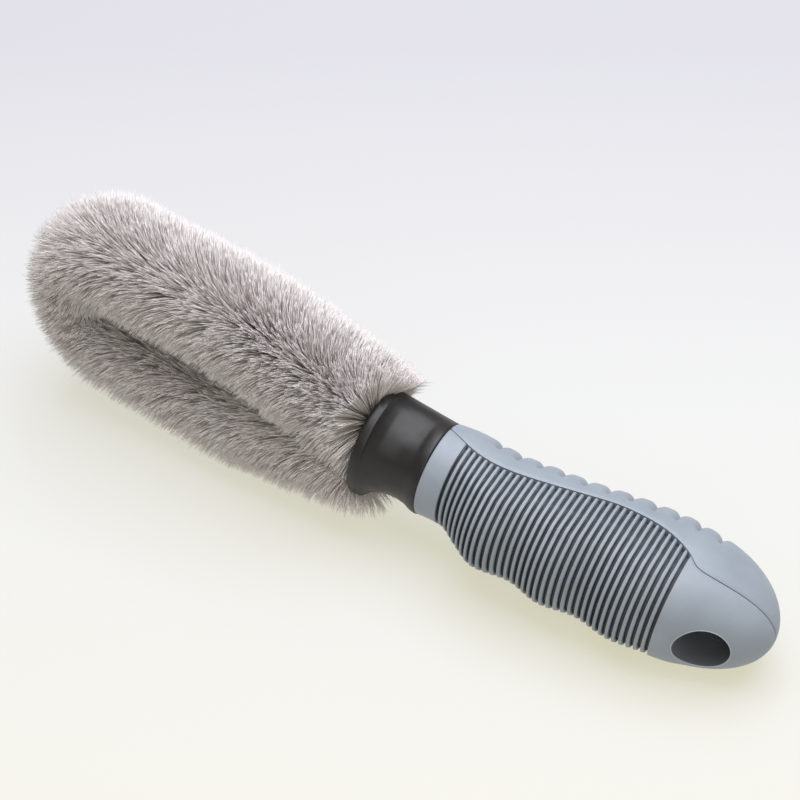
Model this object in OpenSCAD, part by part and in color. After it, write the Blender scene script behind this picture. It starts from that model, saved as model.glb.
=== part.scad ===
// Wheel brush: a looped twisted-wire brush in a two-shell soft grip handle.
// The brush lies on its side. +X runs to the tail, +Y to the spine and +Z is up from the bench.

/* [Handle] */
// Length of the grip, from the collar to the tip of the tail
grip_len = 136; // [115:1:170]
// Radius of the grip where it meets the collar
neck_r = 18.6; // [17:0.1:22]
// Reach of the spine side from the handle's axis, at its fullest
spine_reach = 27.4; // [22:0.1:34]
// Reach of the finger side from the handle's axis, at its fullest
finger_reach = 26.4; // [22:0.1:32]
// Half of the handle's thickness, at its fullest
half_thick = 21.5; // [18.5:0.1:26]
// Depth of the hollows between the finger swells
swell = 2.4; // [0:0.1:4]
// How far the handle's axis drops towards the fingers behind the collar
droop = 3; // [0:0.1:5]
// Length of the rounded tail
tail_len = 37; // [30:1:45]
// Gap left at the seam between the two shells
seam_gap = 0.3; // [0.1:0.05:0.6]
// Radius of the hang hole
hole_r = 9.5; // [6:0.5:11]
// Distance from the hang hole's axis to the tip of the tail
hole_back = 20.3; // [17:0.1:28]
// Thickness of the soft lining in the hang hole
lining = 2.2; // [1.5:0.1:3]

/* [Ribs and dimples] */
// Number of grooves across the finger side
grooves = 35; // [20:1:45]
// Distance from one groove to the next
rib_pitch = 2.61; // [2:0.01:3.5]
// Width of a groove
groove_w = 1.2; // [0.6:0.05:2]
// Depth of a groove
groove_d = 1.4; // [0.4:0.1:2.5]
// Smooth band ahead of the first groove
front_band = 8.9; // [4:0.1:14]
// Number of thumb dimples along the spine
dimples = 11; // [5:1:14]
// Distance from one dimple to the next
dimple_pitch = 8.63; // [6:0.01:11]
// Depth of a dimple
dimple_d = 1.3; // [0.5:0.1:2]
// Distance from the front of the grip to the first dimple
dimple_start = 18.5; // [12:0.5:30]

/* [Collar] */
// Length of the collar that shows ahead of the grip
collar_len = 27; // [20:0.5:35]
// Outer radius of the collar's mouth
mouth_r = 21; // [18:0.5:26]
// Radius of the collar where it meets the grip
collar_r = 18.3; // [16.5:0.1:22]
// Width of the band round the mouth
band_w = 4.5; // [3:0.5:7]
// Depth of the cup inside the mouth
cup_depth = 7; // [4:0.5:10]
// Wall of the cup at the mouth
cup_wall = 3; // [2:0.1:5]
// Depth of the finger scoop in the collar
scoop_d = 3; // [0:0.1:3.5]

/* [Core] */
// Radius of the core's tenon inside the collar
tenon_r = 13; // [12.5:0.1:14]
// Radius of the core inside the front of the grip
core_r = 14.5; // [12.5:0.5:15.5]
// Fullest radius of the core inside the grip
core_full_r = 16.5; // [14:0.5:18]
// Depth of the stem sockets behind the front of the grip
socket_len = 32; // [20:1:45]

/* [Brush] */
// Distance from the collar's mouth to the tip of the filaments
head_len = 165; // [120:1:200]
// Radius of the round of filaments about the wire
bristle_r = 26; // [18:0.5:34]
// Half of the distance between the two legs of the loop
leg_half = 20; // [16:0.5:28]
// Angle that the loop leans towards the spine
head_tilt = 4; // [0:0.5:12]
// Half of the distance between the two stems at the collar
stem_half = 7.5; // [6:0.1:8]
// Radius of one wire
wire_r = 1.25; // [0.8:0.05:1.8]
// Length of one full twist of the wires
twist_pitch = 15; // [12:0.5:25]
// How far the lowest filaments are pressed flat by the bench
press_flat = 2; // [0:0.1:4]

/* [Hidden] */

black = [0.12, 0.12, 0.13];
grey_blue = [0.56, 0.62, 0.66];
steel = [0.66, 0.67, 0.69];
pale = [0.80, 0.79, 0.79];

// the twisted stem: each wire winds at this distance from the stem's middle
wind_r = wire_r + 0.05;
stem_r = 2 * wire_r + 0.1;
ferrule_r = stem_r + 1.4;
plug_bore_r = stem_r + 0.3;
bristle_bore_r = stem_r + 2;

// the loop: legs that spread from the collar, then a half circle; it leans from the hinge point
mouth_x = -collar_len;
hinge_x = mouth_x + 1.5;
tip_x = mouth_x - head_len;
bend_x = tip_x + bristle_r + leg_half;
root_x = mouth_x - 4.5;
mid_x = mouth_x + 0.25 * (bend_x - mouth_x);
spread_x = mouth_x + 0.5 * (bend_x - mouth_x);
loop_reach = leg_half + bristle_r;

// the rounded tail, and the hang hole in it
tail_x = grip_len - tail_len;
hole_x = grip_len - hole_back;
eye_r = hole_r + lining + 3;

// the brush lies on the side of its tail and on the lower leg, so its front is raised
flat_reach = loop_reach - press_flat;
contact_x = spread_x;
rest_run = tail_x - contact_x;
function tail_low(p) = norm([tail_len * sin(p), half_thick * cos(p)]);
function rest_pitch(p, tries) = tries == 0 ? p :
    rest_pitch(atan(flat_reach / rest_run) - asin(tail_low(p) / norm([flat_reach, rest_run])), tries - 1);
pitch = rest_pitch(6, 8);
rest_z = flat_reach * cos(pitch) + contact_x * sin(pitch);
front_end = (hinge_x + (bend_x - hinge_x) * cos(head_tilt)) * cos(pitch)
    - leg_half * sqrt(1 - pow(cos(pitch) * sin(head_tilt), 2)) - bristle_r;
back_end = tail_x * cos(pitch) + norm([tail_len * cos(pitch), half_thick * sin(pitch)]);
rest_x = -(front_end + back_end) / 2;
spine_end = (hinge_x - bend_x + leg_half) * sin(head_tilt) + bristle_r;
rest_y = -(max(spine_end, spine_reach - droop) - finger_reach - droop) / 2;

arc_n = 22;
path_step = twist_pitch / 7;

// a smooth curve through table rows, each [x, value]
function row_slope(t, i) =
    let (a = max(0, i - 1), b = min(len(t) - 1, i + 1))
    (t[b][1] - t[a][1]) / (t[b][0] - t[a][0]);
function curve_at(x, t) =
    let (i = max([for (k = [0:len(t) - 2]) x >= t[k][0] ? k : 0]))
    let (w = t[i + 1][0] - t[i][0], u = min(1, max(0, (x - t[i][0]) / w)))
    let (v = u * u * (3 - 2 * u))
    t[i][1] * (1 - v) + t[i + 1][1] * v
        + w * u * (1 - u) * ((1 - u) * row_slope(t, i) - u * row_slope(t, i + 1));

spine_rows = [[0, neck_r], [12, neck_r + 1.7], [42, neck_r + 2.6], [60, spine_reach - 3.8],
    [78, spine_reach - 0.9], [90, spine_reach], [105, spine_reach - 1.7], [grip_len, spine_reach - 1.8]];
finger_rows = [[0, neck_r], [11, neck_r - 0.9], [20, finger_reach - 4.4], [29, finger_reach - 0.7],
    [43, finger_reach - swell - 0.8], [56, finger_reach], [70, finger_reach - swell],
    [84, finger_reach], [98, finger_reach - swell], [106, finger_reach - 3.4],
    [113, finger_reach - 4.5], [grip_len, finger_reach - 4.6]];
thick_rows = [[0, neck_r - 0.6], [12, neck_r - 0.5], [30, neck_r + 0.7], [60, half_thick - 0.7],
    [92, half_thick], [grip_len, half_thick]];
seam_rows = [[0, 5.2], [13, -0.3], [24, -2.2], [40, -0.9], [66, 4.2], [77, 4.5], [85, 3.5],
    [92, 1.1], [98, -2.4], [103, -6.6], [110, -7.2], [120, -6], [grip_len, -3.3]];

// how much the section shrinks towards the tip of the tail
function tail_f(x) = x <= tail_x ? 1 : sqrt(max(0, 1 - pow((x - tail_x) / tail_len, 2)));
function axis_at(x) = let (u = min(1, x / 30)) -droop * u * u * (3 - 2 * u);
function spine_at(x) = curve_at(x, spine_rows) * tail_f(x);
function finger_at(x) = curve_at(x, finger_rows) * tail_f(x);
function thick_at(x) = curve_at(x, thick_rows) * tail_f(x);
function seam_at(x) = curve_at(x, seam_rows);
// the section is a circle at the neck and fuller at its corners further back
function corner_at(x) = 2 / (2 + 0.4 * min(1, x / 40));
function spow(v, e) = sign(v) * pow(abs(v), e);

// one point of the outer skin: a is 0 at the spine and 180 at the finger side
function skin_pt(x, a, inset) =
    let (top = spine_at(x) - inset, low = finger_at(x) - inset, e = corner_at(x))
    let (mid = axis_at(x) + (top - low) / 2, half = (top + low) / 2)
    [x, mid + half * spow(cos(a), e), (thick_at(x) - inset) * spow(sin(a), e)];

// the angle at which the skin crosses the seam
function seam_angle(x, inset, edge) =
    let (top = spine_at(x) - inset, low = finger_at(x) - inset, e = corner_at(x))
    let (mid = axis_at(x) + (top - low) / 2, half = (top + low) / 2)
    acos(min(1, max(-1, spow((edge - mid) / half, 1 / e))));

// a shell's ring runs round its outer skin from one seam edge to the other
function body_ring(x, inset) =
    let (a0 = seam_angle(x, inset, seam_at(x) - seam_gap / 2))
    [for (k = [0:arc_n]) skin_pt(x, a0 + (360 - 2 * a0) * k / arc_n, inset)];
function spine_ring(x) =
    let (a0 = seam_angle(x, 0, seam_at(x) + seam_gap / 2))
    [for (k = [0:arc_n]) let (a = -a0 + 2 * a0 * k / arc_n) skin_pt(x, a, dimple_at(x, a))];

// a lens-shaped dimple: deepest on the crest and gone at 68 degrees to each side
function dimple_at(x, a) =
    let (s = (x - dimple_start) / dimple_pitch, k = round(s))
    k < 0 || k >= dimples || abs(a) > 68 ? 0 :
    dimple_d * pow(max(0, 1 - pow(abs(s - k) / 0.4, 2)), 0.7) * (1 - pow(a / 68, 4));

module loft(rings) {
    n = len(rings[0]);
    m = len(rings);
    polyhedron(
        points = [for (r = rings) for (p = r) p],
        faces = concat(
            [[for (k = [0:n - 1]) k]],
            [for (i = [0:m - 2]) for (k = [0:n - 1]) let (a = i * n + k, b = i * n + (k + 1) % n)
                [a, a + n, b]],
            [for (i = [0:m - 2]) for (k = [0:n - 1]) let (a = i * n + k, b = i * n + (k + 1) % n)
                [b, a + n, b + n]],
            [[for (k = [n - 1:-1:0]) (m - 1) * n + k]]),
        convexity = 10);
}

tail_steps = [for (k = [1:11]) tail_x + tail_len * sin(k * 8.1)];
last_groove = front_band + (grooves - 1) * rib_pitch + groove_w;
// rings along any plain stretch between the pattern's end and the tail
plain_step = 4;
function plain_steps(from) =
    let (n = floor((tail_x - 1 - from) / plain_step))
    n < 1 ? [] : [for (k = [1:n]) from + k * plain_step];
body_stations = concat(
    [[0, 0], [front_band / 2, 0]],
    [for (g = [0:grooves - 1]) let (x = front_band + g * rib_pitch)
        for (c = [[0, 0], [0.2, groove_d], [groove_w - 0.2, groove_d], [groove_w, 0]]) [x + c[0], c[1]]],
    [for (x = plain_steps(last_groove)) [x, 0]],
    [for (x = tail_steps) if (x > last_groove + 0.5) [x, 0]]);
dimple_end = dimple_start + (dimples - 0.5) * dimple_pitch;
spine_stations = concat(
    [for (k = [0:5]) k * (dimple_start - dimple_pitch / 2) / 5],
    [for (k = [0:dimples - 1]) for (u = [-0.4, -0.27, 0, 0.27, 0.4]) dimple_start + (k + u) * dimple_pitch],
    plain_steps(dimple_end),
    [for (x = tail_steps) if (x > dimple_end + 2) x]);

// the laid pose: raised at the front, and standing on the bench
module laid() {
    translate([rest_x, rest_y, rest_z])
        rotate([0, pitch, 0])
            children();
}

// a turned shape along the handle's axis
module turned(pts) {
    rotate([0, 90, 0])
        rotate([0, 0, 90])
            rotate_extrude($fn = 96)
                polygon(pts);
}

module hang_bore(r) {
    translate([hole_x, 0, 0])
        rotate([90, 0, 0])
            cylinder(h = 80, r = r, center = true, $fn = 72);
}

module stem_sockets(r) {
    for (s = [-1, 1])
        translate([-collar_len + cup_depth - 1, 0, s * stem_half])
            rotate([0, 90, 0])
                cylinder(h = collar_len - cup_depth + 1 + socket_len, r = r, $fn = 40);
}

// the core's outside, also cut out of both shells
module core_form() {
    tail_end = hole_x - eye_r + 4;
    turned([
        [0, 0],
        [core_r, 0],
        [core_r, 18],
        [core_full_r, 50],
        [core_full_r, tail_end - 10],
        [core_full_r - 5, tail_end],
        [0, tail_end]]);
    difference() {
        translate([hole_x, 0, 0])
            rotate([90, 0, 0])
                cylinder(h = 18, r = eye_r, center = true, $fn = 72);
        translate([hole_x + 3, -30, -30])
            cube([40, 60, 60]);
    }
}

module handle_core() {
    color(black)
    laid()
    difference() {
        union() {
            difference() {
                core_form();
                hang_bore(hole_r + lining);
            }
            turned([
                [0, -collar_len + cup_depth + 3],
                [tenon_r, -collar_len + cup_depth + 3],
                [tenon_r, -3],
                [core_r, -3],
                [core_r, 0],
                [0, 0]]);
        }
        stem_sockets(ferrule_r);
    }
}

module collar() {
    color(black)
    laid()
    difference() {
        turned([
            [tenon_r, mouth_x + cup_depth],
            [mouth_r - cup_wall - 1, mouth_x + cup_depth],
            [mouth_r - cup_wall, mouth_x + cup_depth - 1],
            [mouth_r - cup_wall + 0.6, mouth_x + 0.8],
            [mouth_r - 1.6, mouth_x],
            [mouth_r - 0.6, mouth_x + 0.3],
            [mouth_r, mouth_x + 1.2],
            [mouth_r, mouth_x + band_w - 0.8],
            [mouth_r - 0.3, mouth_x + band_w],
            [collar_r + 0.2, -6],
            [collar_r, -0.5],
            [collar_r - 0.5, 0],
            [core_r, 0],
            [core_r, -3],
            [tenon_r, -3]]);
        translate([(mouth_x + band_w) / 2, -collar_r - 15 + scoop_d, 0])
            cylinder(h = 80, r = 14, center = true, $fn = 96);
    }
}

module mouth_plug() {
    color(black)
    laid()
    difference() {
        turned([
            [0, mouth_x + cup_depth - 4],
            [mouth_r - cup_wall - 1.2, mouth_x + cup_depth - 4],
            [mouth_r - cup_wall - 1.2, mouth_x + cup_depth],
            [tenon_r, mouth_x + cup_depth],
            [tenon_r, mouth_x + cup_depth + 3],
            [0, mouth_x + cup_depth + 3]]);
        for (s = [-1, 1])
            translate([mouth_x, 0, s * stem_half])
                rotate([0, 90, 0])
                    cylinder(h = cup_depth + 6, r = plug_bore_r, $fn = 40);
    }
}

module grip_body() {
    color(grey_blue)
    laid()
    difference() {
        loft([for (s = body_stations) body_ring(s[0], s[1])]);
        difference() {
            core_form();
            hang_bore(hole_r + lining);
        }
        hang_bore(hole_r);
    }
}

module grip_spine() {
    color(grey_blue)
    laid()
    difference() {
        loft([for (x = spine_stations) spine_ring(x)]);
        difference() {
            core_form();
            hang_bore(hole_r + lining);
        }
        hang_bore(hole_r);
    }
}

// the stem's path, from the upper ferrule round the loop to the lower ferrule
leg_rows = [[-mouth_x, stem_half], [-mid_x, 0.45 * stem_half + 0.55 * leg_half], [-spread_x, leg_half],
    [-bend_x + 1, leg_half]];
function leg_z(x) = curve_at(-x, leg_rows);
stem_start = socket_len - 4;
lead_len = stem_start - bend_x;
bend_len = PI * leg_half;
path_len = 2 * lead_len + bend_len;
function lean(x, z) = x > hinge_x ? [x, 0, z] :
    [hinge_x + (x - hinge_x) * cos(head_tilt), (hinge_x - x) * sin(head_tilt), z];
function path_pt(d) =
    d < lead_len ? lean(stem_start - d, leg_z(stem_start - d)) :
    d > lead_len + bend_len ?
        let (x = bend_x + d - lead_len - bend_len) lean(x, -leg_z(x)) :
    let (a = (d - lead_len) / leg_half * 180 / PI)
    lean(bend_x - leg_half * sin(a), leg_half * cos(a));
function path_dir(d) =
    let (v = path_pt(min(path_len, d + 0.5)) - path_pt(max(0, d - 0.5)))
    v / norm(v);

module wire(phase) {
    steps = floor(path_len / path_step);
    side = [0, 1, 0];
    loft([for (i = [0:steps])
        let (d = path_len * i / steps, w = phase + 360 * d / twist_pitch)
        let (across = cross(side, path_dir(d)), out = across * cos(w) + side * sin(w))
        let (c = path_pt(d) + out * wind_r)
        [for (k = [0:5]) c + (across * cos(60 * k) + side * sin(60 * k)) * wire_r * 0.97]]);
}

module wire_strand_a() {
    color(steel)
    laid()
    wire(0);
}

module wire_strand_b() {
    color(steel)
    laid()
    wire(180);
}

module ferrule(side) {
    translate([socket_len - 24, 0, side * stem_half])
        rotate([0, 90, 0])
            difference() {
                cylinder(h = 24, r = ferrule_r, $fn = 40);
                translate([0, 0, -1])
                    cylinder(h = 22, r = stem_r + 0.1, $fn = 40);
            }
}

module ferrule_upper() {
    color(steel)
    laid()
    ferrule(1);
}

module ferrule_lower() {
    color(steel)
    laid()
    ferrule(-1);
}

// leans the brush's solids with the loop
module leaning() {
    translate([hinge_x, 0, 0])
        rotate([0, 0, -head_tilt])
            translate([-hinge_x, 0, 0])
                children();
}

// a round of filaments along one stretch of a leg, kept to its own side of the loop
module bristle_leg(side, x0, x1) {
    difference() {
        intersection() {
            hull() {
                translate([x0, 0, side * leg_z(x0)])
                    rotate([0, 90, 0])
                        cylinder(h = 0.01, r = bristle_r, $fn = 48);
                translate([x1 - 0.01, 0, side * leg_z(x1)])
                    rotate([0, 90, 0])
                        cylinder(h = 0.01, r = bristle_r, $fn = 48);
            }
            translate([x0 - 1, -60, side > 0 ? 0.2 : -80.2])
                cube([x1 - x0 + 2, 120, 80]);
        }
        hull() {
            translate([x0 - 0.5, 0, side * leg_z(x0)])
                rotate([0, 90, 0])
                    cylinder(h = 0.01, r = bristle_bore_r, $fn = 24);
            translate([x1 + 0.5, 0, side * leg_z(x1)])
                rotate([0, 90, 0])
                    cylinder(h = 0.01, r = bristle_bore_r, $fn = 24);
        }
    }
}

// the same along the straight stretch of a leg
module bristle_straight(side, x0, x1) {
    difference() {
        translate([x0, 0, side * leg_half])
            rotate([0, 90, 0])
                cylinder(h = x1 - x0, r = bristle_r, $fn = 96);
        translate([x0 - 1, -60, side > 0 ? -79.8 : -0.2])
            cube([x1 - x0 + 2, 120, 80]);
        translate([x0 - 1, 0, side * leg_half])
            rotate([0, 90, 0])
                cylinder(h = x1 - x0 + 2, r = bristle_bore_r, $fn = 40);
    }
}

// what lies above the bench
module above_bench() {
    translate([-300, -100, 0])
        cube([600, 200, 200]);
}

module bristles_upper_root() {
    color(pale)
    laid()
    leaning()
    bristle_leg(1, mid_x + 0.2, root_x);
}

module bristles_upper_mid() {
    color(pale)
    laid()
    leaning()
    bristle_leg(1, spread_x + 0.2, mid_x);
}

module bristles_upper_fore() {
    color(pale)
    laid()
    leaning()
    bristle_straight(1, bend_x + 0.2, spread_x);
}

module bristles_lower_root() {
    color(pale)
    intersection() {
        laid()
            leaning()
            bristle_leg(-1, mid_x + 0.2, root_x);
        above_bench();
    }
}

module bristles_lower_mid() {
    color(pale)
    intersection() {
        laid()
            leaning()
            bristle_leg(-1, spread_x + 0.2, mid_x);
        above_bench();
    }
}

module bristles_lower_fore() {
    color(pale)
    intersection() {
        laid()
            leaning()
            bristle_straight(-1, bend_x + 0.2, spread_x);
        above_bench();
    }
}

module bristles_bend() {
    color(pale)
    intersection() {
        laid()
            leaning()
            translate([bend_x, 0, 0])
                rotate([90, 0, 0])
                    rotate([0, 0, 90])
                        rotate_extrude(angle = 180, $fn = 96)
                            difference() {
                                intersection() {
                                    translate([leg_half, 0])
                                        circle(r = bristle_r, $fn = 96);
                                    translate([0.3, -60])
                                        square([120, 120]);
                                }
                                translate([leg_half, 0])
                                    circle(r = bristle_bore_r, $fn = 40);
                            }
        above_bench();
    }
}

handle_core();
collar();
mouth_plug();
grip_body();
grip_spine();
wire_strand_a();
wire_strand_b();
ferrule_upper();
ferrule_lower();
bristles_upper_root();
bristles_upper_mid();
bristles_upper_fore();
bristles_bend();
bristles_lower_fore();
bristles_lower_mid();
bristles_lower_root();
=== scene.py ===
"""Wheel brush lying on its side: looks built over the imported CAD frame.

The handle's own axes are used for every shape, in millimetres: x runs from the collar's
back edge (0) to the tail, y towards the spine and z to the upper side. placed() turns
them into the shared frame, in metres, with Z up from the bench.
"""

import math

import bpy
import numpy as np
from mathutils import Matrix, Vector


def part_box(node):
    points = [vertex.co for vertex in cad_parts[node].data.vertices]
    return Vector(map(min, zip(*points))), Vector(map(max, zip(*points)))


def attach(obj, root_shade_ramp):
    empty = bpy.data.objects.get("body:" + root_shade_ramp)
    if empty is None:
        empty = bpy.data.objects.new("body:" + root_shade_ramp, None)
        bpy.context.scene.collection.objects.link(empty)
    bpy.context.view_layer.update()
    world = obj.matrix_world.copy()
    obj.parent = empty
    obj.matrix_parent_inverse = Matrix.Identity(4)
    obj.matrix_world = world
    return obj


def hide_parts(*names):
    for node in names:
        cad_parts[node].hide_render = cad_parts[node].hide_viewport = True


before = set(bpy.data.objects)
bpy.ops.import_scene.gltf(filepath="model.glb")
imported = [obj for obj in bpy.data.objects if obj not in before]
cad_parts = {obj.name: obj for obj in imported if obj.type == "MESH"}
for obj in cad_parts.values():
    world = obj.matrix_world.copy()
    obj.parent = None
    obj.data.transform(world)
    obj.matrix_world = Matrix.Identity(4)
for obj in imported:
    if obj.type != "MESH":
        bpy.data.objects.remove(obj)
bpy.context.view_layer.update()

MM = 0.001

# ---------------------------------------------------------------- driving values, mm
GRIP_LEN = 136.0
NECK_R = 18.6
SPINE_REACH = 27.4
FINGER_REACH = 26.4
HALF_THICK = 21.5
SWELL = 2.4
DROOP = 3.0
TAIL_LEN = 37.0
SEAM_GAP = 0.3
HOLE_R = 9.5
HOLE_BACK = 20.3
GROOVES = 35
RIB_PITCH = 2.61
GROOVE_W = 1.2
GROOVE_D = 2.1
FRONT_BAND = 8.9
DIMPLES = 11
DIMPLE_PITCH = 8.63
DIMPLE_D = 1.7
DIMPLE_START = 18.5
COLLAR_LEN = 27.0
MOUTH_R = 21.0
COLLAR_R = 18.3
CUP_DEPTH = 7.0
CUP_WALL = 3.0
TENON_R = 13.0
CORE_R = 14.5
SOCKET_LEN = 32.0
FERRULE_LEN = 24.0
HEAD_LEN = 165.0
BRISTLE_R = 26.0
LEG_HALF = 20.0
STEM_HALF = 7.5
HEAD_TILT = math.radians(4.0)

TAIL_X = GRIP_LEN - TAIL_LEN
HOLE_X = GRIP_LEN - HOLE_BACK
MOUTH_X = -COLLAR_LEN
HINGE_X = MOUTH_X + 1.5
BEND_X = MOUTH_X - HEAD_LEN + BRISTLE_R + LEG_HALF
MID_X = MOUTH_X + 0.25 * (BEND_X - MOUTH_X)
SPREAD_X = MOUTH_X + 0.5 * (BEND_X - MOUTH_X)

# ---------------------------------------------------------------- the handle's place
# the two ferrules lie on the stem sockets, so they give the pitch and the axis
upper_low, upper_high = (np.array(v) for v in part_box("ferrule_upper"))
lower_low, lower_high = (np.array(v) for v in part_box("ferrule_lower"))
upper_mid = (upper_low + upper_high) / 2
lower_mid = (lower_low + lower_high) / 2
apart = upper_mid - lower_mid
PITCH = math.atan2(apart[0], apart[2])
ALONG = np.array([math.cos(PITCH), 0.0, -math.sin(PITCH)])
ACROSS = np.array([0.0, 1.0, 0.0])
RISE = np.array([math.sin(PITCH), 0.0, math.cos(PITCH)])
ORIGIN = (upper_mid + lower_mid) / 2 - ALONG * (SOCKET_LEN - FERRULE_LEN / 2) * MM


def placed(points):
    """Handle points in millimetres to the shared frame in metres."""
    p = np.asarray(points, dtype=float) * MM
    return ORIGIN + p[..., :1] * ALONG + p[..., 1:2] * ACROSS + p[..., 2:3] * RISE


# ---------------------------------------------------------------- meshes
def new_object(name, verts, faces, smooth=True):
    """A mesh object from vertex rows (metres) and a list of face arrays with 3 or 4 columns."""
    mesh = bpy.data.meshes.new(name)
    verts = np.asarray(verts, dtype=np.float32).reshape(-1, 3)
    loops = np.concatenate([np.asarray(f).reshape(-1) for f in faces]).astype(np.int32)
    sizes = np.concatenate([np.full(len(f), np.asarray(f).shape[1]) for f in faces])
    starts = np.concatenate([[0], np.cumsum(sizes)[:-1]]).astype(np.int32)
    mesh.vertices.add(len(verts))
    mesh.vertices.foreach_set("co", verts.ravel())
    mesh.loops.add(len(loops))
    mesh.loops.foreach_set("vertex_index", loops)
    mesh.polygons.add(len(sizes))
    mesh.polygons.foreach_set("loop_start", starts)
    mesh.update(calc_edges=True)
    mesh.polygons.foreach_set("use_smooth", np.full(len(sizes), smooth))
    mesh.validate()
    thing = bpy.data.objects.new(name, mesh)
    bpy.context.scene.collection.objects.link(thing)
    return thing


def grid_faces(rows, cols, wrap_rows=False, wrap_cols=True):
    """Quads joining a grid of rows x cols vertices, row by row."""
    r = np.arange(rows if wrap_rows else rows - 1)
    c = np.arange(cols if wrap_cols else cols - 1)
    r, c = np.meshgrid(r, c, indexing="ij")
    r2, c2 = (r + 1) % rows, (c + 1) % cols
    quads = np.stack([r * cols + c, r * cols + c2, r2 * cols + c2, r2 * cols + c], -1)
    return quads.reshape(-1, 4)


def solid_from_rings(name, rings):
    """Closed solid through rings of equal length, with a fan at each end."""
    rows, cols = rings.shape[:2]
    ends = np.stack([rings[0].mean(0), rings[-1].mean(0)])
    verts = np.concatenate([rings.reshape(-1, 3), ends])
    c = np.arange(cols)
    nxt = (c + 1) % cols
    first, last = rows * cols, rows * cols + 1
    cap_a = np.stack([np.full(cols, first), nxt, c], -1)
    base = (rows - 1) * cols
    cap_b = np.stack([np.full(cols, last), base + c, base + nxt], -1)
    return new_object(name, placed(verts), [grid_faces(rows, cols), cap_a, cap_b])


# ---------------------------------------------------------------- the handle's skin
def curve_at(x, table):
    """A smooth curve through table rows [x, value]: blended cubic steps with shared slopes."""
    t = np.array(table, dtype=float)
    x = np.asarray(x, dtype=float)
    last = len(t) - 1
    after, before = np.minimum(np.arange(len(t)) + 1, last), np.maximum(np.arange(len(t)) - 1, 0)
    slope = (t[after, 1] - t[before, 1]) / (t[after, 0] - t[before, 0])
    i = np.clip(np.searchsorted(t[:, 0], x, side="right") - 1, 0, last - 1)
    w = t[i + 1, 0] - t[i, 0]
    u = np.clip((x - t[i, 0]) / w, 0, 1)
    v = u * u * (3 - 2 * u)
    bow = w * u * (1 - u) * ((1 - u) * slope[i] - u * slope[i + 1])
    return t[i, 1] * (1 - v) + t[i + 1, 1] * v + bow


SPINE_ROWS = [[0, NECK_R], [12, NECK_R + 1.7], [42, NECK_R + 2.6], [60, SPINE_REACH - 3.8],
              [78, SPINE_REACH - 0.9], [90, SPINE_REACH], [105, SPINE_REACH - 1.7],
              [GRIP_LEN, SPINE_REACH - 1.8]]
FINGER_ROWS = [[0, NECK_R], [11, NECK_R - 0.9], [20, FINGER_REACH - 4.4],
               [29, FINGER_REACH - 0.7], [43, FINGER_REACH - SWELL - 0.8],
               [56, FINGER_REACH], [70, FINGER_REACH - SWELL], [84, FINGER_REACH],
               [98, FINGER_REACH - SWELL], [106, FINGER_REACH - 3.4],
               [113, FINGER_REACH - 4.5], [GRIP_LEN, FINGER_REACH - 4.6]]
THICK_ROWS = [[0, NECK_R - 0.6], [12, NECK_R - 0.5], [30, NECK_R + 0.7],
              [60, HALF_THICK - 0.7], [92, HALF_THICK], [GRIP_LEN, HALF_THICK]]
SEAM_ROWS = [[0, 5.2], [13, -0.3], [24, -2.2], [40, -0.9], [66, 4.2], [77, 4.5], [85, 3.5],
             [92, 1.1], [98, -2.4], [103, -6.6], [110, -7.2], [120, -6.0], [GRIP_LEN, -3.3]]


def section(x, inset):
    """Middle, half height, half thickness and corner power of the handle's section at x."""
    shrink = np.sqrt(np.clip(1 - (np.maximum(x - TAIL_X, 0) / TAIL_LEN) ** 2, 0, 1))
    u = np.minimum(1, x / 30)
    axis = -DROOP * u * u * (3 - 2 * u)
    top = curve_at(x, SPINE_ROWS) * shrink - inset
    low = curve_at(x, FINGER_ROWS) * shrink - inset
    thick = curve_at(x, THICK_ROWS) * shrink - inset
    power = 2 / (2 + 0.4 * np.minimum(1, x / 40))
    return axis + (top - low) / 2, (top + low) / 2, thick, power


def skin(x, angle, inset):
    """Skin points: a rounded-square section, angle 0 at the spine and half a turn at the fingers."""
    mid, half, thick, power = section(x, inset)
    c, s = np.cos(angle), np.sin(angle)
    y = mid + half * np.sign(c) * np.abs(c) ** power
    z = thick * np.sign(s) * np.abs(s) ** power
    return np.stack(np.broadcast_arrays(x, y, z), -1)


def seam_angle(x, inset, edge):
    """The angle at which the skin crosses the plane y = edge."""
    mid, half, thick, power = section(x, inset)
    c = np.clip((edge - mid) / half, -1, 1)
    return np.arccos(np.clip(np.sign(c) * np.abs(c) ** (1 / power), -1, 1))


def smooth_step(low, high, v):
    """0 below low, 1 above high, with level ends."""
    u = np.clip((v - low) / (high - low), 0, 1)
    return u * u * (3 - 2 * u)


def groove_inset(x, near_seam):
    """Depth of the skin at x: grooves between ribs with rounded tops, wider near the seam."""
    first = FRONT_BAND + GROOVE_W / 2
    k = np.clip(np.round((x - first) / RIB_PITCH), 0, GROOVES - 1)
    off = np.abs(x - first - k * RIB_PITCH)
    half_w = GROOVE_W / 2 + 0.14 * near_seam
    groove = GROOVE_D * (1 - smooth_step(half_w - 0.18, half_w + 0.1, off))
    inside = (x > first) & (x < first + (GROOVES - 1) * RIB_PITCH)
    slope = np.mod((x - first) / RIB_PITCH, 1.0)
    crown = 0.55 * slope ** 1.6 + 0.25 * np.clip(1 - slope / 0.35, 0, 1) ** 2
    return groove + np.where(inside, crown, 0) * (off > half_w - 0.18)


def edge_round(part, ends_r, count):
    """Inset that rounds off both edges of a ring; part runs 0 to 1 from edge to edge."""
    near = np.minimum(part, 1 - part) * count
    lack = np.clip(1 - near / 2.0, 0, 1)
    return ends_r * (1 - np.sqrt(1 - lack ** 2))


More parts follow.
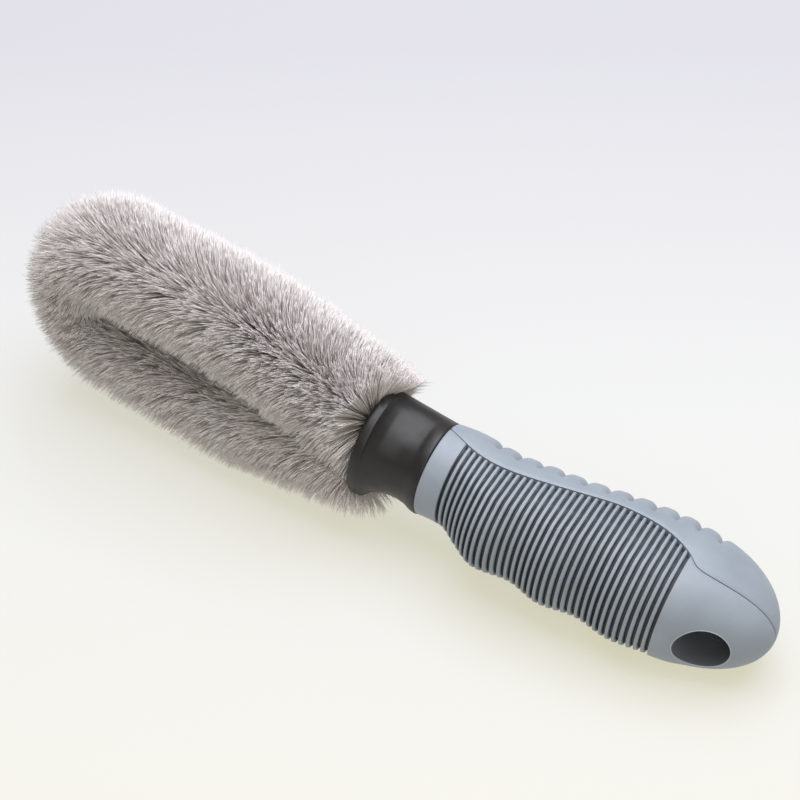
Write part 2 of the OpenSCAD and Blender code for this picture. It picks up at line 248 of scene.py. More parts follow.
def stations(plain, fine, fine_from, fine_to, tail_count):
    """Ring positions: plain spacing, fine spacing between two limits, then the rounded tail."""
    head = np.arange(0.0, fine_from, plain)
    ribs = np.arange(fine_from, fine_to, fine)
    rest = np.arange(fine_to, GRIP_LEN - 1, plain)
    rest = rest[rest < TAIL_X + 8]
    start = max(rest[-1] if len(rest) else fine_to, TAIL_X + 0.1)
    first = math.asin((start - TAIL_X) / TAIL_LEN)
    tail = TAIL_X + TAIL_LEN * np.sin(np.linspace(first, math.radians(88.4), tail_count))[1:]
    return np.concatenate([head, ribs, rest, tail])


def front_lip(x):
    """Rounds the front edge of both shells by half a millimetre."""
    return 0.5 * (1 - np.sqrt(1 - np.clip(1 - x / 0.5, 0, 1) ** 2))


def grip_body():
    """The finger-side shell: the skin from one seam edge round the fingers to the other, sunk
    by the grooves, with a soft ridge and hollow along each side where the ribs turn down."""
    x = np.unique(np.concatenate([[0, 0.05, 0.15, 0.3, 0.5],
                                  stations(0.7, RIB_PITCH / 13, 7.5, 101.0, 46)]))[:, None]
    cols = 116
    part = np.linspace(0, 1, cols)[None, :]
    near_seam = np.exp(-(np.minimum(part, 1 - part) / 0.13) ** 2)
    inset = groove_inset(x, near_seam) + front_lip(x)
    edge = curve_at(x, SEAM_ROWS) - SEAM_GAP / 2
    start = seam_angle(x, inset[:, :1], edge)
    angle = start + (2 * math.pi - 2 * start) * part
    # the shoulder swells with the finger lobes
    turned_by = np.abs(angle - math.pi)
    lobe = 0.5 + 0.5 * np.cos((x - 29.0) / 27.5 * 2 * math.pi)
    corner = 1.02 + 0.10 * lobe
    ridge = np.exp(-((turned_by - corner) / 0.13) ** 2)
    hollow = np.exp(-((turned_by - corner - 0.36) / 0.24) ** 2)
    ribbed = smooth_step(8, 14, x) * (1 - smooth_step(97, 100, x))
    shape = (0.5 * hollow - 0.45 * ridge) * (0.35 + 0.65 * lobe) * ribbed
    rings = skin(x, angle, inset + shape + edge_round(part, 0.35, cols))
    rings[..., 1] = np.minimum(rings[..., 1], edge)
    return solid_from_rings("grip_body_shell", rings)


def grip_spine():
    """The back shell: the skin between the seam edges, sunk by a row of scallops, each one
    less the sine of the distance from its middle, raised to a power."""
    x = np.unique(np.concatenate([[0, 0.05, 0.15, 0.3, 0.5],
                                  stations(0.7, 0.36, 13.0, 110.0, 46)]))[:, None]
    cols = 100
    part = np.linspace(0, 1, cols)[None, :]
    edge = curve_at(x, SEAM_ROWS) + SEAM_GAP / 2
    start = seam_angle(x, front_lip(x), edge)
    angle = -start + 2 * start * part
    step = (x - DIMPLE_START) / DIMPLE_PITCH
    k = np.clip(np.round(step), 0, DIMPLES - 1)
    lens = (1 - np.sin(math.pi * np.clip(np.abs(step - k), 0, 0.5))) ** 1.7
    reach = 1 - smooth_step(math.radians(61), math.radians(68), np.abs(angle))
    inset = front_lip(x) + DIMPLE_D * lens * reach + edge_round(part, 0.35, cols)
    rings = skin(x, angle, inset)
    rings[..., 1] = np.maximum(rings[..., 1], edge)
    return solid_from_rings("grip_spine_shell", rings)


def cut_hole(thing, cutter):
    """Cuts the cutter out of a closed solid and keeps the smooth faces smooth."""
    bpy.context.view_layer.objects.active = thing
    cut = thing.modifiers.new("hole", "BOOLEAN")
    cut.operation = "DIFFERENCE"
    cut.solver = "MANIFOLD"
    cut.object = cutter
    graph = bpy.context.evaluated_depsgraph_get()
    mesh = bpy.data.meshes.new_from_object(thing.evaluated_get(graph))
    thing.modifiers.clear()
    thing.data = mesh
    bpy.context.view_layer.objects.active = thing
    thing.select_set(True)
    bpy.ops.object.shade_smooth_by_angle(angle=math.radians(50))
    thing.select_set(False)
    for m in list(thing.modifiers):
        bpy.ops.object.modifier_apply(modifier=m.name)


def face_values(mesh, field, width, kind=np.float32):
    """One value row per face of a mesh."""
    values = np.empty(len(mesh.polygons) * width, dtype=kind)
    mesh.polygons.foreach_get(field, values)
    return values.reshape(-1, width)


def darken_hole(thing, material):
    """Gives the faces on the hole's wall the second material, a darker grey that is painted shade
    inside the hole.
    """
    mesh = thing.data
    mesh.materials.append(material)
    centre = face_values(mesh, "center", 3) - ORIGIN
    normal = face_values(mesh, "normal", 3)
    x = centre @ ALONG / MM - HOLE_X
    z = centre @ RISE / MM
    inward = (normal @ ALONG * x + normal @ RISE * z) / np.maximum(np.hypot(x, z), 1e-6)
    wall = (np.abs(np.hypot(x, z) - HOLE_R) < 0.1) & (inward < -0.9)
    mesh.polygons.foreach_set("material_index", wall.astype(np.int32))


def darken_grooves(thing, material):
    """Gives the faces on the floors of the grooves the third material, a dark grey that is painted
    shade in the grooves.
    """
    mesh = thing.data
    mesh.materials.append(material)
    index = face_values(mesh, "material_index", 1, np.int32)[:, 0]
    x = (face_values(mesh, "center", 3) - ORIGIN) @ ALONG / MM
    step = (x - FRONT_BAND - GROOVE_W / 2) / RIB_PITCH
    k = np.clip(np.round(step), 0, GROOVES - 1)
    deep = (np.abs(step - k) * RIB_PITCH < GROOVE_W / 2 - 0.02) & (index == 0)
    mesh.polygons.foreach_set("material_index", np.where(deep, 2, index).astype(np.int32))


def hole_cutter():
    """A round bar along y that cuts the hang hole: 128 sides, longer than the handle is wide."""
    turn = np.linspace(0, 2 * math.pi, 128, endpoint=False)
    levels = np.array([-45.0, 45.0])
    ring = np.stack([HOLE_X + HOLE_R * np.cos(turn), 0 * turn, HOLE_R * np.sin(turn)], -1)
    rings = np.stack([ring + [0, y, 0] for y in levels])
    return solid_from_rings("cutter", rings[:, ::-1])


def rim_bead(name, side):
    """A fine raised bead round one mouth of the hang hole, lying on the curved skin."""
    turn = np.linspace(0, 2 * math.pi, 160, endpoint=False)
    radius = HOLE_R + 0.05
    x = HOLE_X + radius * np.cos(turn)
    z = radius * np.sin(turn)
    mid, half, thick, power = section(x, 0.0)
    n = 2 / power
    y = mid + side * half * np.clip(1 - (np.abs(z) / thick) ** n, 0, 1) ** (1 / n)
    centre = np.stack([x, y - side * 0.1, z], -1)
    out = np.stack([np.cos(turn), 0 * turn, np.sin(turn)], -1)
    around = np.linspace(0, 2 * math.pi, 10, endpoint=False)
    up = np.array([0.0, side, 0.0])
    rings = centre[:, None] + 0.2 * (out[:, None] * np.cos(around)[None, :, None]
                                      + up * np.sin(around)[None, :, None])
    if side > 0:
        rings = rings[:, ::-1]
    faces = grid_faces(160, 10, wrap_rows=True)
    return new_object(name, placed(rings.reshape(-1, 3)), [faces])


# ---------------------------------------------------------------- the collar
def collar():
    """A lathe whose outer radius changes round the axis: straight at the spine, a flared
    mouth, a waist and a scoop on the finger side."""
    outer = np.concatenate([MOUTH_X + 1.6 * (1 - np.cos(np.linspace(0.15, math.pi / 2, 7))),
                            np.linspace(MOUTH_X + 2.0, -0.6, 60),
                            [-0.35, -0.15, -0.03]])
    turn = np.linspace(0, 2 * math.pi, 144, endpoint=False)
    x = outer[:, None]
    finger = smooth_step(0.22, 0.62, (1 - np.cos(turn)) / 2)[None, :]
    straight = COLLAR_R + (MOUTH_R - 0.9 - COLLAR_R) * np.clip(-x / 25.0, 0, 1) ** 1.1
    waist = curve_at(x, [[MOUTH_X, MOUTH_R + 0.9], [-23.0, MOUTH_R + 0.8],
                         [-22.3, MOUTH_R - 0.2], [-20.5, MOUTH_R - 1.6],
                         [-18, COLLAR_R - 0.2], [-12, COLLAR_R - 1.5], [-6.0, COLLAR_R - 1.1],
                         [-3.2, COLLAR_R - 0.1], [-1.5, COLLAR_R + 0.3], [0, COLLAR_R + 0.4]])
    radius = straight * (1 - finger) + waist * finger
    lip = np.clip((MOUTH_X + 1.6 - x) / 1.6, 0, 1)
    radius = radius - 1.3 * (1 - np.sqrt(1 - lip ** 2))
    back = np.clip(1 + x / 0.5, 0, 1)
    radius = radius - 0.45 * (1 - np.sqrt(1 - back ** 2))
    skin_rows = np.stack([np.broadcast_to(x, radius.shape), radius * np.cos(turn),
                          radius * np.sin(turn)], -1)
    inner = [[0, CORE_R], [-3, CORE_R], [-3, TENON_R], [MOUTH_X + CUP_DEPTH, TENON_R],
             [MOUTH_X + CUP_DEPTH, MOUTH_R - CUP_WALL - 1.2],
             [MOUTH_X + CUP_DEPTH - 0.4, MOUTH_R - CUP_WALL - 0.6],
             [MOUTH_X + CUP_DEPTH - 1.2, MOUTH_R - CUP_WALL - 0.4],
             [MOUTH_X + 1.5, MOUTH_R - CUP_WALL + 0.1],
             [MOUTH_X + 0.5, MOUTH_R - CUP_WALL + 0.4],
             [MOUTH_X + 0.1, MOUTH_R - CUP_WALL + 1.0]]
    inner = np.array(inner, dtype=float)
    inner_rows = np.stack([np.broadcast_to(inner[:, :1], (len(inner), 144)),
                           inner[:, 1:] * np.cos(turn), inner[:, 1:] * np.sin(turn)], -1)
    rings = np.concatenate([skin_rows, inner_rows])
    faces = grid_faces(len(rings), 144, wrap_rows=True)[:, ::-1]
    thing = new_object("collar_sleeve", placed(rings.reshape(-1, 3)), [faces])
    bpy.context.view_layer.objects.active = thing
    thing.select_set(True)
    bpy.ops.object.shade_smooth_by_angle(angle=math.radians(40))
    thing.select_set(False)
    return thing


# ---------------------------------------------------------------- the bristles
LEG_ROWS = [[-MOUTH_X, STEM_HALF], [-MID_X, 0.45 * STEM_HALF + 0.55 * LEG_HALF],
            [-SPREAD_X, LEG_HALF], [-BEND_X + 1, LEG_HALF]]


def loop_path():
    """The stem's middle line from the upper mouth round to the lower mouth, before the lean:
    x, z, the direction along it, and the length so far."""
    x = np.linspace(MOUTH_X - 0.5, BEND_X, 600)
    z = curve_at(-x, LEG_ROWS)
    a = np.linspace(0, math.pi, 402)[1:-1]
    px = np.concatenate([x, BEND_X - LEG_HALF * np.sin(a), x[::-1]])
    pz = np.concatenate([z, LEG_HALF * np.cos(a), -z[::-1]])
    step = np.hypot(np.diff(px), np.diff(pz))
    length = np.concatenate([[0], np.cumsum(step)])
    tx, tz = np.gradient(px, length), np.gradient(pz, length)
    norm = np.hypot(tx, tz)
    return px, pz, tx / norm, tz / norm, length


def leaned(points):
    """Leans points ahead of the hinge towards the spine."""
    ahead = np.minimum(points[..., 0] - HINGE_X, 0)
    behind = np.maximum(points[..., 0] - HINGE_X, 0)
    c, s = math.cos(HEAD_TILT), math.sin(HEAD_TILT)
    y = points[..., 1]
    x = HINGE_X + behind + ahead * c + y * s * (ahead < 0)
    return np.stack([x, y * c - ahead * s, points[..., 2]], -1)


# filaments to a millimetre of stem, and the most in one piece
PER_MM = 285.0
MOST = 12400
# filaments that gather into one tuft
TUFT_SIZE = 13
# how far one tuft's roots spread, along the stem and round it
ROOT_SPREAD = 0.7
ROOT_TURN = 0.06
# the general lean towards the tip, and its change close to the collar
TIP_LEAN = 0.2
COLLAR_LEAN = 0.75
FRONT_LEAN = 1.0
# the longest reach as a share of the round, and what the gap between the legs takes off
FULL_REACH = 1.03
GAP_TRIM = 2.6
# a filament's points, as shares of its length
SHARES = np.array([0.0, 0.5, 0.88, 1.0])
# clear distance kept from the collar's rim
RIM_CLEAR = 0.8
# lowest height of a filament's middle above the bench, in metres
BENCH_CLEAR = 0.0004


def tubes(name, spots, thick, spin):
    """One thin three-sided tube to each row of four points: two full rings, a slim one and a
    point. Returns the object and, for every corner of a tube's faces, its place round and
    along the tube."""
    axis = spots[:, 3] - spots[:, 0]
    axis /= np.linalg.norm(axis, axis=1)[:, None]
    ref = np.where(np.abs(axis[:, 2:3]) < 0.8, [[0.0, 0.0, 1.0]], [[1.0, 0.0, 0.0]])
    u = np.cross(axis, ref)
    u /= np.linalg.norm(u, axis=1)[:, None]
    w = np.cross(axis, u)
    rings = []
    for ring, scale in ((0, 1.0), (1, 1.0), (2, 0.95)):
        for corner in range(3):
            t = spin + corner * 2 * math.pi / 3
            r = (thick * scale)[:, None]
            rings.append(spots[:, ring] + (u * np.cos(t)[:, None] + w * np.sin(t)[:, None]) * r)
    rings.append(spots[:, 3])
    verts = np.stack(rings, 1).reshape(-1, 3)
    tri, uv_u, uv_v = [], [], []
    for ring in range(2):
        low, high = SHARES[ring], SHARES[ring + 1]
        for c in range(3):
            a, b = ring * 3 + c, ring * 3 + (c + 1) % 3
            tri += [[a, b, b + 3], [a, b + 3, a + 3]]
            uv_u += [[0, 1, 1], [0, 1, 0]]
            uv_v += [[low, low, high], [low, high, high]]
    for c in range(3):
        tri.append([6 + c, 6 + (c + 1) % 3, 9])
        uv_u.append([0, 1, 0.5])
        uv_v.append([SHARES[2], SHARES[2], 1.0])
    tri.append([2, 1, 0])
    uv_u.append([0, 1, 0.5])
    uv_v.append([0.0, 0.0, 0.03])
    tri = np.array(tri)
    faces = (tri[None] + (np.arange(len(spots)) * 10)[:, None, None]).reshape(-1, 3)
    thing = new_object(name, verts, [faces], smooth=True)
    return thing, np.array(uv_u, float), np.array(uv_v, float)


def filaments(name, start, end, count, seed):
    """Thin tapering three-sided filaments rooted on one stretch of the stem. They stand out
    all round it, gather into tufts, lean a little along the stem and thin to a point."""
    rng = np.random.default_rng(seed)
    px, pz, tx, tz, length = loop_path()
    total = length[-1]
    tufts = max(40, count // TUFT_SIZE)
    order = np.arange(tufts) + 0.5
    tuft_s = start - 0.8 + (end - start + 1.6) * np.mod(order * 0.7548777, 1.0)
    tuft_a = 2 * math.pi * np.mod(order * 0.5698403, 1.0)
    tuft_s += rng.normal(0, 0.5, tufts)
    tuft_a += rng.normal(0, 0.04, tufts)
    tuft_lean = rng.normal(0, 0.045, tufts)
    tuft_side = rng.normal(0, 0.035, tufts)
    tuft_pull = rng.uniform(0.55, 1.0, tufts)
    tuft_tone = rng.normal(0, 0.09, tufts)
    own = rng.integers(0, tufts, count)
    angle = tuft_a[own] + rng.normal(0, ROOT_TURN, count)
    s = np.clip(tuft_s[own] + rng.normal(0, ROOT_SPREAD, count), start, end)
    # smooth where they stand up and away, gathered where they face the front or hang
    rise = np.interp(s, length, tx) * -np.cos(angle)
    loose = smooth_step(0.0, 0.75, 0.62 * np.sin(angle) + 0.78 * rise)
    free = rng.random(count) < 0.2 + 0.75 * loose
    s = np.where(free, rng.uniform(start, end, count), s)
    angle = np.where(free, angle + rng.normal(0, 0.3, count), angle)
    root = np.stack([np.interp(s, length, px), np.zeros(count), np.interp(s, length, pz)], -1)
    along = np.stack([np.interp(s, length, tx), np.zeros(count), np.interp(s, length, tz)], -1)
    along /= np.linalg.norm(along, axis=1)[:, None]
    side = np.array([0.0, 1.0, 0.0])
    # outward of the loop: the stem's direction turned a quarter about the side
    outward = np.stack([along[:, 2], np.zeros(count), -along[:, 0]], -1)
    # lean: forward near the collar, level round the bend; it follows the stem to the tip
    run = np.minimum(s, total - s)
    to_tip = np.where(s < total / 2, 1.0, -1.0)
    up = outward[:, 2] * np.cos(angle)
    facing = np.clip(0.7 * (up - np.sin(angle)), 0, 1)
    lean = TIP_LEAN + (FRONT_LEAN * facing - COLLAR_LEAN) * np.exp(-run / 8.0)
    lean = lean * smooth_step(0, 40, np.abs(s - total / 2)) * to_tip
    swirl = (np.sin(s / 4.1 + 2.0 * angle) + np.sin(s / 6.7 - 3.0 * angle + 1.3)
             + np.sin(s / 2.9 + angle + 4.0))
    lean = lean + tuft_lean[own] * (1 - 0.7 * loose) + 0.035 * swirl + rng.normal(0, 0.03, count)
    radial = outward * np.cos(angle)[:, None] + side * np.sin(angle)[:, None]
    cross = -outward * np.sin(angle)[:, None] + side * np.cos(angle)[:, None]
    aim = radial + along * lean[:, None] + cross * (tuft_side[own]
                                                    + rng.normal(0, 0.025, count))[:, None]
    aim /= np.linalg.norm(aim, axis=1)[:, None]
    inner = np.clip(-np.cos(angle), 0, 1)
    uneven = 0.24 - 0.1 * loose
    reach = BRISTLE_R * (FULL_REACH - uneven * rng.random(count) ** 1.6) - GAP_TRIM * inner ** 2
    reach = reach * np.where(rng.random(count) < 0.02, rng.uniform(1.02, 1.09, count), 1)
    # tips of one tuft gather towards its middle
    tip = root + aim * reach[:, None]
    ts = tuft_s[own]
    mid_root = np.stack([np.interp(ts, length, px), np.zeros(count),
                         np.interp(ts, length, pz)], -1)
    mid_radial = (outward * np.cos(tuft_a[own])[:, None] + side * np.sin(tuft_a[own])[:, None]
                  + along * lean[:, None])
    mid_radial /= np.linalg.norm(mid_radial, axis=1)[:, None]
    goal = mid_root + mid_radial * reach[:, None]
    pull = (tuft_pull[own] * rng.uniform(0.4, 1.0, count) * ~free)[:, None]
    tip = tip + (goal - tip) * pull * 0.8
    droop = rng.normal(0, 0.15, (count, 3))
    along_it = SHARES[None, :, None]
    line = (root[:, None] + (tip - root)[:, None] * along_it
            + droop[:, None] * (along_it * along_it)
            + (aim * reach[:, None] - (tip - root))[:, None]
            * (along_it * (1 - along_it)) * 0.6)
    # keep clear of the collar's rim
    off_axis = np.hypot(line[..., 1], line[..., 2])
    limit = MOUTH_X - 0.5 + np.maximum(0, off_axis - MOUTH_R - RIM_CLEAR) * 1.9
    line[..., 0] = np.minimum(line[..., 0], limit)
    line = leaned(line)
    spots = placed(line)
    # the bench flattens what would reach below it
    sunk = np.maximum(0, BENCH_CLEAR - spots[..., 2])
    spots[..., 2] += sunk
    spots[..., 1] -= sunk * np.sign(0.02 - spots[..., 1]) * 0.5
    thick = rng.uniform(0.13, 0.18, count) * MM
    spin = rng.uniform(0, 2 * math.pi, count)
    thing, uv_u, uv_v = tubes(name, spots, thick, spin)
    varied = tuft_tone[own] + rng.normal(0, 0.13, count)
    tone = np.clip(0.5 + varied * (1 - 0.6 * loose), 0.04, 0.94)
    layer = thing.data.uv_layers.new(name="OFBake")
    uv = np.empty((count, len(uv_u), 3, 2))
    uv[..., 0] = tone[:, None, None] + 0.02 * uv_u[None]
    uv[..., 1] = 0.02 + 0.96 * uv_v[None]
    layer.data.foreach_set("uv", uv.reshape(-1))
    return thing


# ---------------------------------------------------------------- materials
def linear(r, g, b):
    """Screen colour, 0 to 255, as linear light."""
    v = np.array([r, g, b]) / 255.0
    v = np.where(v <= 0.04045, v / 12.92, ((v + 0.055) / 1.055) ** 2.4)
    return tuple(float(c) for c in v) + (1.0,)


def new_material(name):
    """An empty material with one shader: the material, its node tree and the shader."""
    m = bpy.data.materials.new(name)
    m.use_nodes = True
    m.node_tree.nodes.clear()
    out = m.node_tree.nodes.new("ShaderNodeOutputMaterial")
    shade = m.node_tree.nodes.new("ShaderNodeBsdfPrincipled")
    m.node_tree.links.new(shade.outputs[0], out.inputs["Surface"])
    return m, m.node_tree, shade


def noise(tree, coords, scale, detail, rough=0.5):
    """A noise value, 0 to 1, at the given coordinates."""
    n = tree.nodes.new("ShaderNodeTexNoise")
    n.inputs["Scale"].default_value = scale
    n.inputs["Detail"].default_value = detail
    n.inputs["Roughness"].default_value = rough
    tree.links.new(coords, n.inputs["Vector"])
    return n.outputs["Fac"]


def ramp(tree, source, stops):
    """A colour that blends through stops, each a place from 0 to 1 and a colour."""
    r = tree.nodes.new("ShaderNodeValToRGB")
    while len(r.color_ramp.elements) < len(stops):
        r.color_ramp.elements.new(0.5)
    for e, (at, colour) in zip(r.color_ramp.elements, stops):
        e.position = at
        e.color = colour
    tree.links.new(source, r.inputs["Fac"])
    return r.outputs["Color"]


def to_range(tree, source, low, high, out_low, out_high):
    """A value moved from one range to another and held at its ends."""
    r = tree.nodes.new("ShaderNodeMapRange")
    r.inputs["From Min"].default_value = low
    r.inputs["From Max"].default_value = high
    r.inputs["To Min"].default_value = out_low
    r.inputs["To Max"].default_value = out_high
    tree.links.new(source, r.inputs["Value"])
    return r.outputs["Result"]


def moulded(name, dark, light, rough_low, rough_high, bump_depth, grain=2600.0, specks=0.0):
    """Moulded rubber or plastic: blotchy tone, uneven gloss and a fine grain."""
    m, tree, shade = new_material(name)
    coords = tree.nodes.new("ShaderNodeTexCoord").outputs["Object"]
    blotch = noise(tree, coords, 55.0, 4.0, 0.6)
    tree.links.new(ramp(tree, blotch, [(0.3, dark), (0.7, light)]), shade.inputs["Base Color"])
    scuff = noise(tree, coords, 240.0, 5.0, 0.65)
    tree.links.new(to_range(tree, scuff, 0.3, 0.7, rough_low, rough_high),
                   shade.inputs["Roughness"])
    fine = noise(tree, coords, grain, 3.0, 0.6)
    bump = tree.nodes.new("ShaderNodeBump")
    bump.inputs["Strength"].default_value = 0.35
    bump.inputs["Distance"].default_value = bump_depth
    tree.links.new(fine, bump.inputs["Height"])
    tree.links.new(bump.outputs["Normal"], shade.inputs["Normal"])
    shade.inputs["Specular IOR Level"].default_value = 0.45
    return m


def filament_material():
    """Pale nylon: darker and warmer at the root as painted shade near the stem, light at the tip, each
    filament its own tone.
    """
    m, tree, shade = new_material("nylon filament")
    uv = tree.nodes.new("ShaderNodeUVMap")
    uv.uv_map = "OFBake"
    parts = tree.nodes.new("ShaderNodeSeparateXYZ")
    tree.links.new(uv.outputs["UV"], parts.inputs["Vector"])
    # painted shade: the colour darkens and warms towards the root, where the filaments shade each
    # other near the stem
    root_shade_ramp = ramp(tree, parts.outputs["Y"], [(0.0, linear(190, 181, 164)),
                                           (0.45, linear(238, 233, 228)),
                                           (0.85, linear(238, 234, 236)),
                                           (1.0, linear(238, 235, 238))])
    tone = ramp(tree, parts.outputs["X"], [(0.0, linear(214, 208, 202)),
                                           (0.5, linear(244, 241, 240)),
                                           (1.0, linear(255, 255, 255))])
    mix = tree.nodes.new("ShaderNodeMix")
    mix.data_type = "RGBA"
    mix.blend_type = "MULTIPLY"
    mix.inputs["Factor"].default_value = 1.0
    tree.links.new(root_shade_ramp, mix.inputs["A"])
    tree.links.new(tone, mix.inputs["B"])
    tree.links.new(mix.outputs["Result"], shade.inputs["Base Color"])
    shade.inputs["Roughness"].default_value = 0.32
    shade.inputs["Specular IOR Level"].default_value = 0.5
    return m


def steel_material():
    """Galvanised wire: mottled grey metal with uneven gloss."""
    m, tree, shade = new_material("galvanised wire")
    coords = tree.nodes.new("ShaderNodeTexCoord").outputs["Object"]
    tone = noise(tree, coords, 400.0, 4.0)
    tree.links.new(ramp(tree, tone, [(0.3, linear(150, 150, 154)), (0.7, linear(196, 196, 200))]),
                   shade.inputs["Base Color"])
    shade.inputs["Metallic"].default_value = 1.0
    tree.links.new(to_range(tree, tone, 0.3, 0.7, 0.28, 0.45), shade.inputs["Roughness"])
    return m


GRIP = moulded("grip rubber", linear(132, 140, 152), linear(142, 150, 162), 0.4, 0.55, 0.00006)
SPINE = moulded("spine rubber", linear(130, 138, 151), linear(140, 148, 161), 0.38, 0.52, 0.00005)
COLLAR = moulded("collar rubber", linear(20, 19, 22), linear(27, 26, 29), 0.34, 0.48, 0.00005)
CORE = moulded("core plastic", linear(34, 34, 36), linear(42, 42, 44), 0.45, 0.6, 0.00004)
# painted shade: the hang hole's wall gets a darker grey than the grip, standing in for the shade
# inside the hole
HOLE_SHADE = moulded("hole wall painted shade", linear(92, 96, 104), linear(102, 107, 115), 0.5, 0.65, 0.00005)
# painted shade: the groove floors get a dark grey that stands in for the shade deep in the grooves
GROOVE_SHADE = moulded("groove floor painted shade", linear(58, 60, 66), linear(68, 71, 77), 0.55, 0.7, 0.00004)
# painted highlight: the hole's rim bead gets a lighter grey than the grip, standing in for light
# caught on the edge
RIM_HIGHLIGHT = moulded("rim painted highlight", linear(158, 167, 178), linear(168, 177, 188), 0.4, 0.5, 0.00002)
STEEL = steel_material()
NYLON = filament_material()


def dress(thing, material):
    """Gives an object one material in place of any it has."""
    thing.data.materials.clear()
    thing.data.materials.append(material)


# ---------------------------------------------------------------- building
cutter = hole_cutter()
for build, node, slot, material in ((grip_body, "grip_body", "grip", GRIP),
                                    (grip_spine, "grip_spine", "spine", SPINE)):
    shell = build()
    cut_hole(shell, cutter)
    dress(shell, material)
    # the hole's wall takes the darker grey of painted shade
    darken_hole(shell, HOLE_SHADE)
    if node == "grip_body":
        # the groove floors take the dark grey of painted shade
        darken_grooves(shell, GROOVE_SHADE)
    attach(shell, "root")
    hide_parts(node)
bpy.data.objects.remove(cutter)

for name, side, slot in (("hole_rim_finger", -1, "grip"), ("hole_rim_spine", 1, "spine")):
    bead = rim_bead(name, side)
    # each bead is dressed in the lighter grey of a painted highlight along the hole's edge
    dress(bead, RIM_HIGHLIGHT)
    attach(bead, "root")

neck = collar()
dress(neck, COLLAR)
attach(neck, "root")
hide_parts("collar")

path_total = loop_path()[4][-1]
leg_total = (path_total - math.pi * LEG_HALF) / 2
mid_at = leg_total * (MOUTH_X - MID_X) / (MOUTH_X - BEND_X)
spread_at = leg_total * (MOUTH_X - SPREAD_X) / (MOUTH_X - BEND_X)
half = path_total / 2
zones = [("upper_root", 0.0, mid_at), ("upper_mid", mid_at, spread_at),
         ("upper_fore", spread_at, leg_total), ("bend", leg_total, half),
         ("bend", half, path_total - leg_total),
         ("lower_fore", path_total - leg_total, path_total - spread_at),
         ("lower_mid", path_total - spread_at, path_total - mid_at),
         ("lower_root", path_total - mid_at, path_total)]
for number, (zone, start, end) in enumerate(zones):
    count = min(MOST, int((end - start) * PER_MM))
    tuft = filaments(f"tufts_{zone}_{number}", start, end, count, 31 + number)
    dress(tuft, NYLON)
    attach(tuft, "root")
    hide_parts("bristles_" + zone)

for node, material in (("handle_core", CORE), ("mouth_plug", CORE), ("wire_strand_a", STEEL),
                       ("wire_strand_b", STEEL), ("ferrule_upper", STEEL),
                       ("ferrule_lower", STEEL)):
    dress(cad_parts[node], material)

# ---------------------------------------------------------------- stage, light and camera
FLOOR_HALF = 3.0
floor_corners = FLOOR_HALF * np.array([[-1.0, -1.0, 0], [1.0, -1.0, 0], [1.0, 1.0, 0], [-1.0, 1.0, 0]])
floor = new_object("floor", floor_corners, [np.array([[0, 1, 2, 3]])], smooth=False)
floor_mat, floor_tree, floor_shade = new_material("pale floor with painted glow")
floor_coords = floor_tree.nodes.new("ShaderNodeTexCoord").outputs["Object"]
# painted light: the floor's colour changes with the distance away across the bench, darker and bluer
# far off
away = floor_tree.nodes.new("ShaderNodeVectorMath")
away.operation = "DOT_PRODUCT"
away.inputs[1].default_value = (-0.5, 0.87, 0.0)
floor_tree.links.new(floor_coords, away.inputs[0])
near_far = to_range(floor_tree, away.outputs["Value"], -1.0, 0.35, 0.0, 1.0)
floor_tree.links.new(ramp(floor_tree, near_far, [(0.3, linear(134, 136, 142)),
                                                 (0.55, linear(134, 138, 160)),
                                                 (1.0, linear(104, 105, 116))]),
                     floor_shade.inputs["Base Color"])
# painted glow: the floor emits light, warm and yellowish near the brush and cooler far off, which
# lifts and yellows the shadows
floor_tree.links.new(ramp(floor_tree, near_far, [(0.3, linear(212, 210, 204)),
                                                 (0.55, linear(199, 192, 148)),
                                                 (0.78, linear(204, 202, 186)),
                                                 (1.0, linear(197, 195, 198))]),
                     floor_shade.inputs["Emission Color"])
floor_shade.inputs["Roughness"].default_value = 0.9
floor_shade.inputs["Specular IOR Level"].default_value = 0.1
floor_shade.inputs["Emission Strength"].default_value = 1.0
dress(floor, floor_mat)

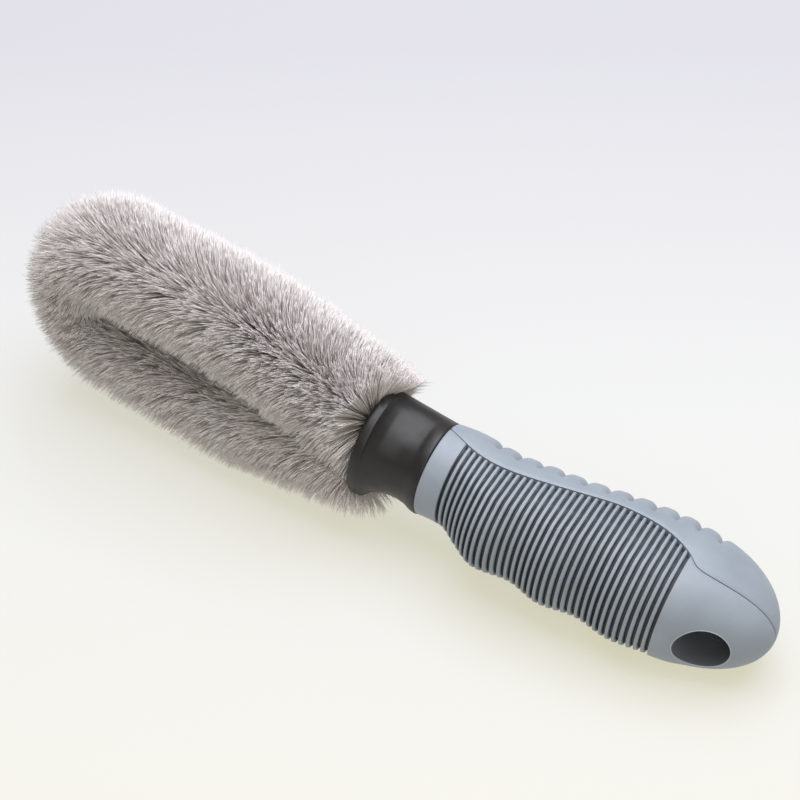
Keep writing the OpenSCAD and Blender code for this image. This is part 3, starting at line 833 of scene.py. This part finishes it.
# the camera looks down on the finger side of the brush, from beyond its tail
VIEW_TURN, VIEW_HEIGHT = math.radians(29.8), math.radians(41.4)
VIEW_LEFT, VIEW_UP, VIEW_BACK = 9.0, 25.4, 652.0
LENS = 79.4
back = np.array([math.sin(VIEW_TURN) * math.cos(VIEW_HEIGHT),
                 -math.cos(VIEW_TURN) * math.cos(VIEW_HEIGHT), math.sin(VIEW_HEIGHT)])
right = np.array([math.cos(VIEW_TURN), math.sin(VIEW_TURN), 0.0])
upward = np.cross(back, right)
aim_point = placed([-4.3, -DROOP, 0.0])
eye = aim_point + (VIEW_BACK * back - VIEW_LEFT * right + VIEW_UP * upward) * MM
cam_data = bpy.data.cameras.new("camera")
cam_data.sensor_width = 36.0
cam_data.lens = LENS
cam_data.clip_start = 0.02
cam = bpy.data.objects.new("camera", cam_data)
cam.matrix_world = Matrix([[right[i], upward[i], back[i], eye[i]] for i in range(3)]
                          + [[0, 0, 0, 1]])
bpy.context.scene.collection.objects.link(cam)
bpy.context.scene.camera = cam


def soft_light(name, place, target, size, power, colour):
    """A square area light aimed at a point."""
    data = bpy.data.lights.new(name, "AREA")
    data.shape = "SQUARE"
    data.size = size
    data.energy = power
    data.color = colour
    lamp = bpy.data.objects.new(name, data)
    z = np.array(place, float) - np.array(target, float)
    z /= np.linalg.norm(z)
    x = np.cross([0.0, 0.0, 1.0], z)
    x = np.array([1.0, 0.0, 0.0]) if np.linalg.norm(x) < 1e-6 else x / np.linalg.norm(x)
    y = np.cross(z, x)
    lamp.matrix_world = Matrix([[x[i], y[i], z[i], place[i]] for i in range(3)] + [[0, 0, 0, 1]])
    bpy.context.scene.collection.objects.link(lamp)


soft_light("overhead softbox", (0.02, 0.18, 1.05), (0.0, 0.0, 0.03), 1.2, 19.0, (0.93, 0.95, 1.0))
soft_light("side fill", (0.35, -0.9, 0.9), (0.0, 0.0, 0.04), 0.8, 2.6, (1.0, 0.99, 0.97))
world = bpy.data.worlds.new("studio")
bpy.context.scene.world = world
world.use_nodes = True
world.node_tree.nodes["Background"].inputs["Color"].default_value = linear(248, 243, 220)
world.node_tree.nodes["Background"].inputs["Strength"].default_value = 0.46
bpy.context.scene.view_settings.view_transform = "Standard"
